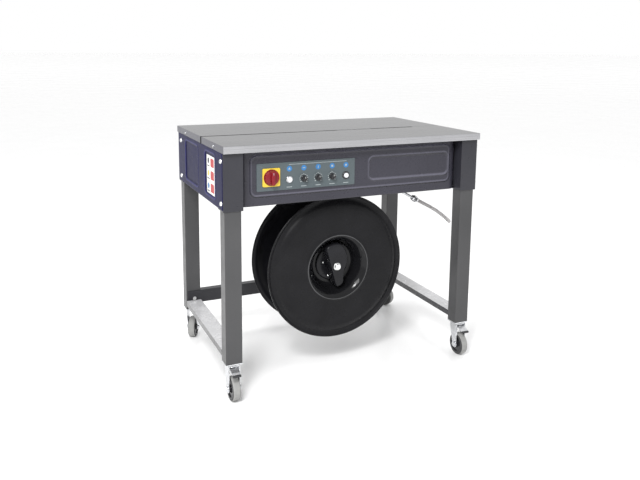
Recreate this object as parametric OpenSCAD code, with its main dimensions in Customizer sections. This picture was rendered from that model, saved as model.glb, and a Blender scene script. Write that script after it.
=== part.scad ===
// Table strapping machine on castors: a sheet-steel body on four legs, a two-plate
// stainless table with a strap slot, a control plate, and a strap reel hung below.
// Millimetres. Origin on the floor at the middle of the footprint, +X along the long
// side seen from the front, +Y to the back, +Z up.

/* [Table] */
// Length of the table along X
table_w = 895; // [880:1:920]
// Depth of the table along Y
table_d = 565; // [555:1:585]
// Height of the working surface above the floor
table_h = 787; // [780:1:800]
// Depth of the folded table edge
skirt_h = 21.6; // [18:0.2:24]
// Thickness of the stainless table sheet
table_t = 1.6; // [1.2:0.1:2.5]
// Position of the strap slot along Y
slot_y = -40; // [-60:1:-20]
// Width of the strap slot
slot_w = 9; // [3:0.5:12]
// Where the open part of the strap slot ends along X
slot_end = 332; // [250:1:360]

/* [Body] */
// Height of the bottom edge of the front panel
body_z = 595; // [590:1:600]
// Distance of the front panel behind the middle plane of the machine
panel_y = 238; // [236:1:238]
// Height that the front panel's raised field stands out
field_h = 3; // [2:0.5:4]
// Thickness of the body sheets
sheet_t = 1.5; // [1:0.1:2]

/* [Legs] */
// Outer width of a leg along X
leg_w = 52; // [50:1:54]
// Outer depth of a leg along Y
leg_d = 45; // [44:1:46]
// Wall of the leg tubes
leg_t = 2; // [1.5:0.5:3]
// Distance of a leg's middle from the centre along X
leg_x = 415; // [414:1:415]
// Distance of a leg's middle from the centre along Y
leg_y = 243.5; // [243:0.5:244]
// Height of the bottom end of the legs
leg_z = 119; // [119:1:122]

/* [Reel] */
// Position of the reel's axis along X
reel_x = -26; // [-40:1:-10]
// Height of the reel's axis
reel_z = 348; // [340:1:348]
// Outer radius of the reel's flanges
reel_r = 244; // [230:1:244]
// Middle plane between the two flanges
reel_y = -88; // [-92:1:-86]
// Radius of the fixed shaft
shaft_r = 12.5; // [10:0.5:14]

/* [Castors] */
// Radius of a castor's tyre
wheel_r = 37.5; // [35:0.5:38]
// Width of a castor's tyre
wheel_w = 25; // [22:1:26]
// Distance from the swivel axis back to the axle
trail = 12; // [8:1:16]
// Swivel angle at which the rear castors stand
rear_swivel = 28; // [0:1:30]

/* [Controls] */
// Height of the row of buttons and knobs
knob_z = 671; // [665:1:675]
// Side of the main switch's plate
switch_w = 56; // [50:1:60]
// Radius of a timer knob
knob_r = 10; // [8:0.5:11]

/* [Hidden] */
$fn = 64;

steel_grey = [0.33, 0.33, 0.35];
blue_grey = [0.27, 0.26, 0.40];
stainless = [0.66, 0.67, 0.69];
zinc = [0.78, 0.79, 0.82];
black = [0.10, 0.10, 0.11];
tyre_grey = [0.62, 0.62, 0.61];

half_w = table_w / 2;
half_d = table_d / 2;
skirt_z = table_h - skirt_h;
post_x = 446;
leg_top = 785.2;
pan_z = 604;
ctl_y = -(panel_y + sheet_t + field_h + 2);   // front face of the control plate
knob_xs = [-229, -181, -133, -85, -37];
switch_x = -288;
switch_z = 681;
cam = [70, 670];
pul = [70, 700];
mot = [-170, 672];
mot_r = 22;
pul_r = 55;

// ---------- helpers ----------
module rr(w, h, r) {
    square([w - 2 * r, h], center = true);
    square([w, h - 2 * r], center = true);
    for (i = [-1, 1], j = [-1, 1]) translate([i * (w / 2 - r), j * (h / 2 - r)]) circle(r);
}
// a cylinder along +Y from y0, length l
module cy(x, y0, z, r, l) { translate([x, y0, z]) rotate([-90, 0, 0]) cylinder(r = r, h = l); }
// a cylinder along +X from x0
module cx(x0, y, z, r, l) { translate([x0, y, z]) rotate([0, 90, 0]) cylinder(r = r, h = l); }
// box by its two corners
module bx(a, b) { translate(a) cube([b[0] - a[0], b[1] - a[1], b[2] - a[2]]); }
// a flat plate in the XZ plane, front face at y0, thickness t, from a 2D shape
module xz(y0, t) { translate([0, y0 + t, 0]) rotate([90, 0, 0]) linear_extrude(t) children(); }
// a flat plate in the YZ plane from x0, thickness t
module yz(x0, t) { translate([x0, 0, 0]) rotate([90, 0, 90]) linear_extrude(t) children(); }

// ---------- legs and lower frame ----------
module leg(sx, sy) {
    color(steel_grey) translate([sx * leg_x, sy * leg_y, leg_z]) difference() {
        translate([-leg_w / 2, -leg_d / 2, 0]) cube([leg_w, leg_d, leg_top - leg_z]);
        translate([-leg_w / 2 + leg_t, -leg_d / 2 + leg_t, -1])
            cube([leg_w - 2 * leg_t, leg_d - 2 * leg_t, leg_top - leg_z + 2]);
    }
}
module leg_front_left() { leg(-1, -1); }
module leg_front_right() { leg(1, -1); }
module leg_rear_left() { leg(-1, 1); }
module leg_rear_right() { leg(1, 1); }

rail_z = 132;
rail_h = 20;
module side_rails() {
    y1 = leg_y - leg_d / 2;
    color(steel_grey) for (s = [-1, 1]) translate([s * leg_x, 0, 0]) difference() {
        translate([-leg_w / 2, -y1, rail_z]) cube([leg_w, 2 * y1 - 3.3, rail_h]);
        translate([-leg_w / 2 + 2.5, -y1 + 4, rail_z - 1]) cube([leg_w - 5, 2 * y1 - 11.3, rail_h - 1.5]);
    }
}
module rear_stretcher() {
    y1 = leg_y - leg_d / 2;
    xi = leg_x - leg_w / 2 - 0.5;
    color([0.16, 0.16, 0.18]) {
        bx([-437, y1 - 3, 141], [437, y1, 187]);
        bx([-xi, y1, 141], [xi, y1 + 24, 144]);
        bx([-xi, y1, 184], [xi, y1 + 24, 187]);
    }
}
module frame_bolts() {
    y1 = leg_y - leg_d / 2 - 3;
    color(zinc) {
        for (s = [-1, 1]) {
            cy(s * 413, y1 - 6, 160, 6.5, 6);
            // screws under the table's left and right edges
            for (y = [-180, 160]) cx(s > 0 ? half_w : -half_w - 1.6, y, 775, 4, 1.6);
        }
        // four bolts that hold the reel bracket under the body
        for (x = [-70, 18], y = [29, 50]) translate([reel_x + 26 + x, y, 592]) cylinder(r = 6.5, h = 5.6);
    }
}

// ---------- body ----------
module corner_posts() {
    color(steel_grey) for (sx = [-1, 1], sy = [-1, 1]) difference() {
        translate([sx * 415 - 31, sy * 244 - 26, 592]) cube([62, 52, skirt_z - 0.4 - 592]);
        translate([sx * leg_x - leg_w / 2 - 0.3, sy * leg_y - leg_d / 2 - 0.3, 590])
            cube([leg_w + 0.6, leg_d + 0.6, leg_top - 590 + 0.3]);
    }
}
module panel_shape(hole) {
    difference() {
        translate([-383.6, body_z]) square([767.2, skirt_z - 0.4 - body_z]);
        if (hole > 0) translate([1, 686]) rr(711, 129, 20.5);
    }
}
module control_holes() {
    for (i = [0, 4]) cy(knob_xs[i], -300, knob_z, 9, 100);
    for (i = [1, 2, 3]) cy(knob_xs[i], -300, knob_z, 3.05, 100);
    cy(switch_x, -300, switch_z, 4.05, 100);
}
module front_panel() {
    yb = -panel_y - sheet_t;
    color(steel_grey) difference() {
        union() {
            xz(yb, sheet_t) panel_shape(1);
            // raised field inside the border
            xz(yb - field_h, sheet_t) translate([1, 686]) rr(714, 132, 22);
            xz(yb - field_h, field_h + sheet_t) difference() {
                translate([1, 686]) rr(714, 132, 22);
                translate([1, 686]) rr(711, 129, 20.5);
            }
            // bottom return flange
            bx([-383.6, -panel_y - 0.1, body_z], [383.6, -panel_y + 20, body_z + sheet_t]);
        }
        // pressed rectangle at the right
        xz(yb - field_h - 1, 1.9) translate([197, 686]) difference() { rr(303, 77, 18); rr(297, 71, 15); }
        control_holes();
    }
}
module rear_panel() {
    color(steel_grey) {
        xz(panel_y, sheet_t) difference() {
            panel_shape(0);
            for (i = [-4:4]) for (j = [0, 1]) translate([180 + i * 16, 680 + j * 40]) rr(5, 30, 2.4);
        }
        bx([-383.6, panel_y - 20, body_z], [383.6, panel_y + 0.1, body_z + sheet_t]);
    }
}
module side_cover() {
    h = skirt_z - 0.6 - 597;
    color(blue_grey) translate([post_x, 0, 0]) {
        yz(0, 1.4) difference() {
            translate([-268, 597]) square([536, h]);
            translate([83, 684]) rr(166, 134, 16);
            translate([-141, 684]) rr(116, 134, 16);
        }
        yz(-2.6, 1.4) { translate([83, 684]) rr(168.8, 136.8, 17.4); translate([-141, 684]) rr(118.8, 136.8, 17.4); }
        yz(-2.6, 4) {
            translate([83, 684]) difference() { rr(168.8, 136.8, 17.4); rr(166, 134, 16); }
            translate([-141, 684]) difference() { rr(118.8, 136.8, 17.4); rr(116, 134, 16); }
        }
    }
}
module left_cover() { mirror([1, 0, 0]) side_cover(); }
module right_cover() { side_cover(); }
module floor_pan() {
    color([0.22, 0.22, 0.24]) difference() {
        bx([-383.6, -panel_y + 1, pan_z], [383.6, panel_y - 1, pan_z + 2]);
        // opening where the strap runs up into the machine
        bx([150, -108, pan_z - 1], [186, -62, pan_z + 3]);
    }
}
module cover_screws() {
    color(zinc) {
        for (s = [-1, 1]) for (p = [[-259, 742], [-259, 617], [222, 742], [222, 617]])
            translate([s * (post_x + 1.4), p[0], p[1]]) rotate([0, s * 90, 0]) {
                cylinder(r = 6.5, h = 1.2);
                intersection() { translate([0, 0, -6.6]) sphere(r = 9.3, $fn = 48); cylinder(r = 6.2, h = 6); }
            }
    }
}

// ---------- table ----------
module table_plate(y0, y1, skirt_y, notch) {
    // y0..y1 is the plate's extent, skirt_y the side that folds down
    color(stainless) difference() {
        translate([-half_w, y0, skirt_z]) cube([table_w, y1 - y0, skirt_h]);
        translate([-half_w + table_t, skirt_y < 0 ? y0 + table_t : y0 - 1, skirt_z - 1])
            cube([table_w - 2 * table_t, y1 - y0 - table_t + 1, skirt_h + 1 - table_t]);
        // open strap slot, half of it in each plate
        if (notch) translate([-half_w - 1, skirt_y < 0 ? y1 - slot_w / 2 + 0.2 : y0 - 1, skirt_z - 1])
            cube([half_w + 1 + slot_end, slot_w / 2 + 0.8, skirt_h + 2]);
    }
}
module table_front_plate() { table_plate(-half_d, slot_y - 0.2, -1, true); }
module table_rear_plate() { table_plate(slot_y + 0.2, half_d, 1, true); }

// ---------- controls ----------
module control_plate() {
    color([0.36, 0.40, 0.39]) difference() {
        xz(ctl_y, 2) translate([-170, 682]) rr(328, 84.5, 3);
        control_holes();
    }
}
module switch_plate() {
    color([0.98, 0.78, 0.10]) difference() {
        xz(ctl_y - 4, 4) translate([switch_x, switch_z]) rr(switch_w, switch_w, 4);
        cy(switch_x, -300, switch_z, 4.05, 100);
    }
}
module button_bezels() {
    color(black) for (i = [0, 4]) difference() {
        cy(knob_xs[i], ctl_y - 3, knob_z, i == 0 ? 11 : 12.5, 3);
        cy(knob_xs[i], ctl_y - 4, knob_z, 8.8, 5);
    }
}
module push_button(i) {
    color([0.93, 0.94, 0.95]) {
        cy(knob_xs[i], ctl_y - 6.5, knob_z, 8.5, 12);
        cy(knob_xs[i], ctl_y + 5.5, knob_z, 3, 9);
    }
}
module reset_button() { push_button(0); }
module feed_button() { push_button(4); }
module timer_knob(i) {
    color(black) {
        cy(knob_xs[i], ctl_y - 13, knob_z, knob_r - 1.5, 12.6);
        cy(knob_xs[i], ctl_y - 4, knob_z, knob_r, 3.6);
        cy(knob_xs[i], ctl_y - 1, knob_z, 3, 15);
        bx([knob_xs[i] - 2.6, ctl_y - 15, knob_z - 8], [knob_xs[i] + 2.6, ctl_y - 13, knob_z + 8]);
    }
}
module timer_knob_1() { timer_knob(1); }
module timer_knob_2() { timer_knob(2); }
module timer_knob_3() { timer_knob(3); }
module main_switch_knob() {
    color([0.75, 0.06, 0.08]) {
        cy(switch_x, ctl_y - 12, switch_z, 23, 7.7);
        bx([switch_x - 5.5, ctl_y - 24, switch_z - 21], [switch_x + 5.5, ctl_y - 11.9, switch_z + 21]);
        cy(switch_x, ctl_y - 5, switch_z, 4, 22);
    }
}
module control_box() {
    color([0.80, 0.80, 0.78]) bx([-340, -221, 622], [-4, -168, 742]);
}

// ---------- reel ----------
// the two flanges share one profile: [radius, distance in front of the middle plane]
function flange_front() = [
    [13.2, 36], [70, 36], [76, 38], [80, 42], [97, 84], [101, 89.5], [106, 92], [112, 91.4], [118, 89.5],
    [reel_r - 48, 89.5], [reel_r - 38, 87.5], [reel_r - 28, 83], [reel_r - 20, 78], [reel_r - 14, 76],
    [reel_r - 9, 76.4], [reel_r - 5, 79.5], [reel_r - 2.5, 80.5], [reel_r, 79]];
function flange_back() = [
    [reel_r, 75.5], [reel_r - 3.5, 76], [reel_r - 7, 73.6], [reel_r - 13, 72.6], [reel_r - 21, 74.4],
    [reel_r - 30, 79.6], [reel_r - 39, 84], [reel_r - 48.5, 86],
    [118, 86], [112, 88], [106, 88.5], [103.4, 87.4], [100, 83], [83.2, 41], [78.6, 35], [71, 32.6], [13.2, 32.6]];
module flange(s, r0) {
    pts = [for (p = concat(flange_front(), flange_back())) [max(p[0], r0), p[1]]];
    translate([reel_x, reel_y, reel_z]) rotate([s < 0 ? 90 : -90, 0, 0]) rotate_extrude($fn = 128) polygon(pts);
}
module front_flange() { color(black) flange(-1, 13.2); }
module rear_flange() { color(black) flange(1, 23.6); }
module reel_hub() {
    // tube between the two wells, with the bearing seats, fixed to the rear flange
    color([0.16, 0.16, 0.17]) translate([reel_x, reel_y, reel_z]) rotate([90, 0, 0]) rotate_extrude() polygon([
        [23.6, -32.4], [74, -32.4], [74, -28], [32, -28], [32, 28], [72, 28], [72, 32.2],
        [23.6, 32.2], [23.6, 18], [20, 18], [20, -22], [23.6, -22]]);
}
module reel_bearings() {
    color(zinc) for (p = [[-31.9, 12], [22.1, 12]]) translate([reel_x, reel_y - p[0], reel_z]) rotate([90, 0, 0])
        rotate_extrude() polygon([[shaft_r + 0.05, 0], [23.55, 0], [23.55, p[1] - 2.2], [shaft_r + 0.05, p[1] - 2.2]]);
}
module reel_shaft() {
    color(zinc) {
        cy(reel_x, reel_y - 70, reel_z, shaft_r, 196.5);
        cy(reel_x, 5.5, reel_z, 19, 8.2);
        cy(reel_x, 24.2, reel_z, 19, 11);
    }
}
module reel_bracket() {
    w = 60;
    color([0.20, 0.20, 0.22]) difference() {
        union() {
            bx([reel_x - w, 14, 306], [reel_x + w, 20, 603.6]);
            bx([reel_x - w, 14, 597.6], [reel_x + w, 70, 603.6]);
            // side webs
            for (s = [-1, 1]) yz(reel_x + s * (w - 2.5) - 2.5, 5)
                polygon([[19.9, 306], [34, 306], [70, 560], [70, 598], [19.9, 598]]);
            cy(reel_x, 14, reel_z, 26, 10);
        }
        cy(reel_x, 0, reel_z, shaft_r, 60);
    }
}
module locking_handle() {
    // a bar grip on a round base, turned about the shaft
    y0 = reel_y - 36.3;
    color([0.12, 0.12, 0.13]) difference() {
        union() {
            cy(reel_x, y0 - 7, reel_z, 58, 7);
            translate([reel_x, 0, reel_z])
                xz(y0 - 46, 39.5) polygon([[-39, 61], [-30, 71], [-7.4, 77.5], [8, 77], [20, 71], [30, 57.5], [37, 44], [40, 30], [40, 12],
                    [34, -7], [28, -20], [26, -32], [26, -58], [16, -70], [4, -73], [-3, -66], [-15, -25], [-27, 20]]);
        }
        cy(reel_x, y0 - 36, reel_z, shaft_r + 0.06, 60);
    }
}
module handle_bolt() {
    y0 = reel_y - 36.3 - 46;
    color(zinc) {
        cy(reel_x, y0 - 2.2, reel_z, 13, 2.2);
        cy(reel_x, y0 - 8, reel_z, 9, 5.8);
    }
}

// ---------- strap guide ----------
guide_y = -85;
guide_a = 28.8;                       // slope of the rod below the horizontal
guide_p = [334, 526];                 // where the hose starts, in X and Z
module guide_along(s0, l, r, f = 64) {
    translate([guide_p[0], guide_y, guide_p[1]]) rotate([0, 90 + guide_a, 0]) translate([0, 0, s0])
        cylinder(r = r, h = l, $fn = f);
}
module guide_rod() {
    color(zinc) difference() {
        union() {
            guide_along(-163, 139, 4.5);
            translate([205, guide_y, 0]) translate([0, 0, 597.6]) cylinder(r = 17, h = 6);
            translate([210, guide_y, 594]) sphere(r = 9);
        }
        bx([150, -130, 603.6], [300, -40, 680]);
    }
}
module guide_nut() {
    color([0.45, 0.46, 0.48]) {
        guide_along(-24, 6, 9.5);
        guide_along(-18, 12, 11.5, 6);
        guide_along(-6, 6, 8.6);
    }
}
// the hose: one tube swept along its route
hose_r = 6.2;
hose_pts = [[334, 526], [347, 519], [362, 511], [377, 503], [397, 492], [417, 480], [433, 469], [449, 457], [464, 445], [479, 431]];
hose_n = len(hose_pts);
hose_sides = 10;
function unit(v) = v / norm(v);
function tangent(i) = unit(i == 0 ? hose_pts[1] - hose_pts[0] : i == hose_n - 1 ? hose_pts[i] - hose_pts[i - 1] : hose_pts[i + 1] - hose_pts[i - 1]);
function ring(i) = let (t = tangent(i), n = [-t[1], t[0]])
    [for (k = [0:hose_sides - 1]) let (a = 360 * k / hose_sides)
        [hose_pts[i][0] + hose_r * cos(a) * n[0], guide_y + hose_r * sin(a), hose_pts[i][1] + hose_r * cos(a) * n[1]]];
module guide_hose() {
    verts = [for (i = [0:hose_n - 1]) each ring(i)];
    sides = [for (i = [0:hose_n - 2]) for (k = [0:hose_sides - 1])
        [i * hose_sides + k, i * hose_sides + (k + 1) % hose_sides,
         (i + 1) * hose_sides + (k + 1) % hose_sides, (i + 1) * hose_sides + k]];
    start_cap = [for (k = [0:hose_sides - 1]) hose_sides - 1 - k];
    end_cap = [for (k = [0:hose_sides - 1]) (hose_n - 1) * hose_sides + k];
    color([0.85, 0.84, 0.83, 0.7]) polyhedron(points = verts, faces = concat([start_cap], sides, [end_cap]));
}

// ---------- drive inside the body ----------
module motor() {
    color([0.35, 0.42, 0.50]) {
        cy(mot[0], 106, mot[1], 48, 100);
        cy(mot[0], 102, mot[1], 30, 4.1);
        cy(mot[0], 205.9, mot[1], 44, 16);
        bx([mot[0] - 42, 116, pan_z + 2.1], [mot[0] + 42, 196, pan_z + 8]);
        bx([mot[0] - 30, 120, pan_z + 7.9], [mot[0] + 30, 192, mot[1] - 30]);
        cy(mot[0], 74, mot[1], 7, 30);
    }
}
module grooved_pulley(x, z, r, bore) {
    color(zinc) translate([x, 90, z]) rotate([90, 0, 0]) difference() {
        union() {
            cylinder(r = r, h = 12);
            translate([0, 0, -2]) cylinder(r = r + 3, h = 2.01);
            translate([0, 0, 11.99]) cylinder(r = r + 3, h = 1.6);
        }
        translate([0, 0, -3]) cylinder(r = bore, h = 20);
    }
}
module motor_pulley() { grooved_pulley(mot[0], mot[1], mot_r, 7.05); }
module gearbox_pulley() { grooved_pulley(pul[0], pul[1], pul_r, 8.05); }
module drive_belt() {
    color(black) translate([0, 89, 0]) rotate([90, 0, 0]) linear_extrude(10) difference() {
        hull() { translate(mot) circle(mot_r + 4, $fn = 96); translate(pul) circle(pul_r + 4, $fn = 96); }
        hull() { translate(mot) circle(mot_r + 0.5, $fn = 96); translate(pul) circle(pul_r + 0.5, $fn = 96); }
    }
}
module gearbox() {
    color([0.50, 0.52, 0.53]) difference() {
        union() {
            bx([15, 16, pan_z + 2.1], [125, 62, 742]);
            cy(pul[0], 61.9, pul[1], 16, 8);
            cy(pul[0], 61.9, pul[1], 8, 36);
        }
        cy(cam[0], 15, cam[1], 10.05, 22);
    }
}
module cam_shaft() {
    color(zinc) {
        cy(cam[0], -96, cam[1], 10, 131);
        for (p = [[-74, 0, 4], [-52, 4, 0], [-30, -4, 0], [-12, 0, -4]]) cy(cam[0] + p[1], p[0], cam[1] + p[2], 25, 8);
    }
}
module sealing_head() {
    // side plates, the anvil block under the slot, and feet
    color([0.55, 0.55, 0.52]) difference() {
        union() {
            for (y = [-92, 4]) bx([4, y, pan_z + 2.1], [216, y + 6, 782]);
            bx([4, -86.1, 726], [136, 4.1, 782]);
            bx([4, -86.1, pan_z + 2.1], [216, 4.1, pan_z + 8]);
        }
        cy(cam[0], -100, cam[1], 10.05, 120);
        cy(176, -100, 700, 6.05, 120);
        // strap channel through the anvil
        bx([0, -50, 776], [140, -30, 783]);
        // clear of the strap's way up through the floor pan
        bx([148, -110, pan_z], [188, -60, 618]);
    }
}
module feed_roller() {
    color(black) {
        cy(176, -95, 700, 6, 107);
        cy(176, -80, 700, 22, 78);
    }
}

// ---------- castors ----------
cast_plate_t = 4;
module castor_at(sx, sy, a) { translate([sx * leg_x, sy * leg_y, 0]) rotate([0, 0, a]) children(); }
// the castor stands with its axle along X and trails towards -Y before it is turned
module castor_plates() {
    color(zinc) for (sx = [-1, 1], sy = [-1, 1]) translate([sx * leg_x, sy * leg_y, 0]) {
        translate([-leg_w / 2, -leg_d / 2, leg_z - 3.5]) cube([leg_w, leg_d, 3.5]);
        translate([0, 0, leg_z - 5.5]) cylinder(r = 21, h = 2.1);
        translate([0, 0, leg_z - 17.7]) cylinder(r = 5, h = 34);
        translate([0, 0, leg_z - 17.7]) cylinder(r = 8, h = 5);
    }
}
fork_in = wheel_w / 2 + 3.5;
module fork_body() {
    color(zinc) {
        difference() {
            union() {
                translate([0, 0, leg_z - 9]) cylinder(r = 22.5, h = 3.2);
                translate([0, 0, leg_z - 12]) cylinder(r = 18, h = 3.1);
            }
            translate([0, 0, leg_z - 15]) cylinder(r = 5.06, h = 15);
        }
        for (s = [-1, 1]) yz(s > 0 ? fork_in : -fork_in - 2.5, 2.5) difference() {
            union() {
                polygon([[-21, leg_z - 6.2], [15, leg_z - 6.2], [15, 96], [-trail + 11, 37], [-trail - 11, 37], [-24, 92]]);
                translate([-trail, wheel_r]) circle(12);
            }
        }
        // axle with its two heads
        cx(-fork_in - 2.6, -trail, wheel_r, 4, 2 * fork_in + 5.2);
        for (s = [-1, 1]) cx(s > 0 ? fork_in + 2.4 : -fork_in - 7.4, -trail, wheel_r, 7.5, 5);
        // bridge that joins the two sides under the swivel plate
        difference() {
            bx([-fork_in - 0.1, -20, leg_z - 9], [fork_in + 0.1, 15, leg_z - 6.2]);
            translate([0, 0, leg_z - 15]) cylinder(r = 5.06, h = 15);
        }
    }
}
module wheel_body() {
    color([0.13, 0.13, 0.14]) difference() {
        union() {
            cx(-wheel_w / 2, -trail, wheel_r, wheel_r - 8, wheel_w);
            cx(-wheel_w / 2 - 2.8, -trail, wheel_r, 10, wheel_w + 5.6);
        }
        cx(-30, -trail, wheel_r, 4.06, 60);
        // dished sides
        for (s = [-1, 1]) difference() {
            cx(s > 0 ? wheel_w / 2 - 3 : -wheel_w / 2 - 1, -trail, wheel_r, wheel_r - 11, 4);
            cx(-30, -trail, wheel_r, 13, 60);
        }
    }
}
module tyre_body() {
    color(tyre_grey) translate([0, -trail, wheel_r]) rotate([0, 90, 0]) rotate_extrude($fn = 96) polygon([
        [wheel_r - 8, -wheel_w / 2], [wheel_r - 3.2, -wheel_w / 2], [wheel_r - 1, -wheel_w / 2 + 1.6], [wheel_r, -wheel_w / 2 + 5],
        [wheel_r, wheel_w / 2 - 5], [wheel_r - 1, wheel_w / 2 - 1.6], [wheel_r - 3.2, wheel_w / 2], [wheel_r - 8, wheel_w / 2]]);
}
module pedal_body() {
    // a pressed lever over the wheel, hinged on a pin between the fork's sides
    color(zinc) {
        yz(-12.5, 25) polygon([[-16, 99], [-10.5, 101.5], [-11, 105], [-24, 105.5], [-38, 99], [-49.5, 92], [-48.5, 89], [-37, 95.5], [-24, 101]]);
        cx(-fork_in + 0.3, -14, 101, 4, 2 * fork_in - 0.6);
    }
}
module castor_fork_front_left() { castor_at(-1, -1, 0) fork_body(); }
module castor_fork_front_right() { castor_at(1, -1, 0) fork_body(); }
module castor_fork_rear_left() { castor_at(-1, 1, 180 - rear_swivel) fork_body(); }
module castor_fork_rear_right() { castor_at(1, 1, 180 + rear_swivel) fork_body(); }
module wheel_front_left() { castor_at(-1, -1, 0) wheel_body(); }
module wheel_front_right() { castor_at(1, -1, 0) wheel_body(); }
module wheel_rear_left() { castor_at(-1, 1, 180 - rear_swivel) wheel_body(); }
module wheel_rear_right() { castor_at(1, 1, 180 + rear_swivel) wheel_body(); }
module tyre_front_left() { castor_at(-1, -1, 0) tyre_body(); }
module tyre_front_right() { castor_at(1, -1, 0) tyre_body(); }
module tyre_rear_left() { castor_at(-1, 1, 180 - rear_swivel) tyre_body(); }
module tyre_rear_right() { castor_at(1, 1, 180 + rear_swivel) tyre_body(); }
module brake_pedal_left() { castor_at(-1, -1, 0) pedal_body(); }
module brake_pedal_right() { castor_at(1, -1, 0) pedal_body(); }

leg_front_left();
leg_front_right();
leg_rear_left();
leg_rear_right();
side_rails();
rear_stretcher();
corner_posts();
front_panel();
rear_panel();
left_cover();
right_cover();
floor_pan();
table_front_plate();
table_rear_plate();
cover_screws();
frame_bolts();
control_plate();
switch_plate();
button_bezels();
control_box();
reel_bracket();
reel_shaft();
reel_bearings();
reel_hub();
rear_flange();
front_flange();
locking_handle();
handle_bolt();
guide_rod();
guide_nut();
guide_hose();
motor();
motor_pulley();
drive_belt();
gearbox();
gearbox_pulley();
cam_shaft();
sealing_head();
feed_roller();
main_switch_knob();
reset_button();
feed_button();
timer_knob_1();
timer_knob_2();
timer_knob_3();
castor_plates();
castor_fork_front_left();
castor_fork_front_right();
castor_fork_rear_left();
castor_fork_rear_right();
wheel_front_left();
wheel_front_right();
wheel_rear_left();
wheel_rear_right();
tyre_front_left();
tyre_front_right();
tyre_rear_left();
tyre_rear_right();
brake_pedal_left();
brake_pedal_right();
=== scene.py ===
import math

import bmesh
import bpy
from mathutils import Matrix, Vector

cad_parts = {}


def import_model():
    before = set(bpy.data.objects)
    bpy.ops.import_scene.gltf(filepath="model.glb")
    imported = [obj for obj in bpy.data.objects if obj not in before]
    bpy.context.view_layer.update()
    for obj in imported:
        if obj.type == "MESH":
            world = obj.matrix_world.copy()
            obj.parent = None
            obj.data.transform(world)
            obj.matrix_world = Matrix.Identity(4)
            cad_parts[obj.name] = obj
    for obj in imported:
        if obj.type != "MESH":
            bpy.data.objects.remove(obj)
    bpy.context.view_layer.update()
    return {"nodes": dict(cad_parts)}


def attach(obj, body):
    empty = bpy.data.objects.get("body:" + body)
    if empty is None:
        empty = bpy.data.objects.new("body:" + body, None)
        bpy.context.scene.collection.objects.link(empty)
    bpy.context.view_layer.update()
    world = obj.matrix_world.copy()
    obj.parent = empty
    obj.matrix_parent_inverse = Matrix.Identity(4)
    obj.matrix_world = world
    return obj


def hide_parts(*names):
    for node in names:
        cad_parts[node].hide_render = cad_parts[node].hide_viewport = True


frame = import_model()
N = frame["nodes"]
S = bpy.context.scene
MM = 0.001


# ------------------------------------------------------------------ camera
def direction_camera():
    yaw, pitch, roll = math.radians(24.04), math.radians(-8.78), math.radians(0.47)
    fwd = Vector((math.sin(yaw) * math.cos(pitch), math.cos(yaw) * math.cos(pitch), math.sin(pitch)))
    right = Vector((math.cos(yaw), -math.sin(yaw), 0))
    up = right.cross(fwd)
    r = math.cos(roll) * right + math.sin(roll) * up
    u = -math.sin(roll) * right + math.cos(roll) * up
    data = bpy.data.cameras.new("camera")
    cam = bpy.data.objects.new("camera", data)
    S.collection.objects.link(cam)
    m = Matrix(((r.x, u.x, -fwd.x), (r.y, u.y, -fwd.y), (r.z, u.z, -fwd.z)))
    cam.rotation_mode = "QUATERNION"
    cam.rotation_quaternion = m.to_quaternion()
    cam.location = Vector((-1003.97, -2142.57, 1071.48)) * MM
    data.sensor_width = 36
    data.lens = 38.64
    data.shift_x = (320 - 311.11) / 640
    data.shift_y = (152.22 - 240) / 640
    data.clip_start, data.clip_end = 0.05, 300
    S.camera = cam


direction_camera()


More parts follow.
